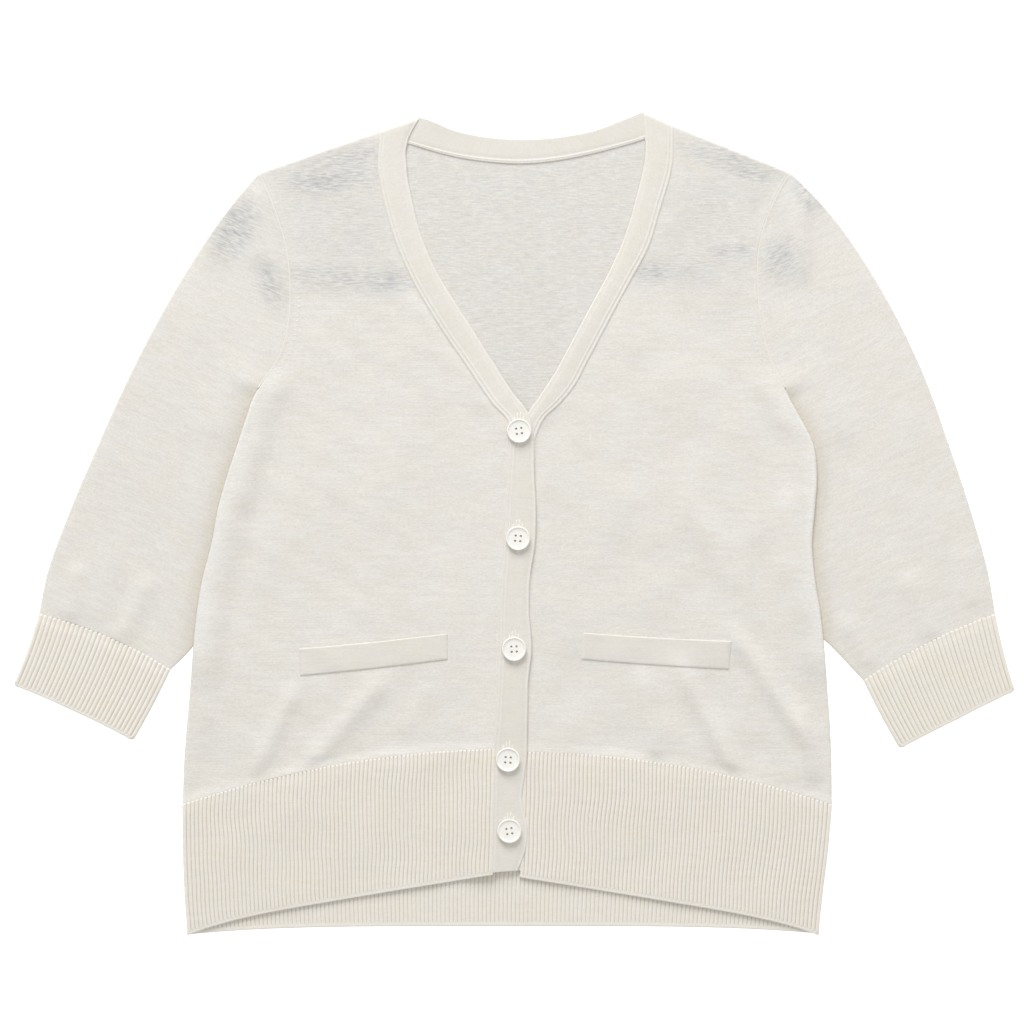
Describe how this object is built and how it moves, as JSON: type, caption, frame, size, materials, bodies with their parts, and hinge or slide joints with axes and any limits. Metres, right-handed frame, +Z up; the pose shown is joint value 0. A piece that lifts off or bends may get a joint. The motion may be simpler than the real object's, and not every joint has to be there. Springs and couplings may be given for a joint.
{
  "type": "knitted button cardigan",
  "caption": "Fine-gauge V-neck knitted cardigan, laid flat and buttoned, with elbow-length sleeves, ribbed cuffs and hem, and small welt pockets.",
  "frame": {"origin": "on the surface that the cardigan lies on, below the middle of its bounding box", "axes": "+X towards the wearer's left sleeve, +Y from the hem to the neck, +Z up from the surface, out of the front"},
  "size_m": [0.7209, 0.593, 0.0093],
  "materials": {
    "jersey": "fine-gauge cream jersey knit, matt, faintly heathered",
    "rib": "cream rib knit, matt",
    "band": "cream double-knit band, matt and close",
    "button": "cream four-hole button with a soft gloss"
  },
  "bodies": {
    "root": {"back": "jersey", "back_hem_rib": "rib", "back_neckband": "band", "front_right": "jersey", "front_left": "jersey", "front_right_hem_rib": "rib", "front_left_hem_rib": "rib", "sleeve_right": "jersey", "sleeve_left": "jersey", "cuff_right": "rib", "cuff_left": "rib", "buttonhole_band": "band", "button_band": "band", "pocket_welt_right": "band", "pocket_welt_left": "band", "button_1": "button", "button_2": "button", "button_3": "button", "button_4": "button", "button_5": "button"}
  },
  "joints": []
}
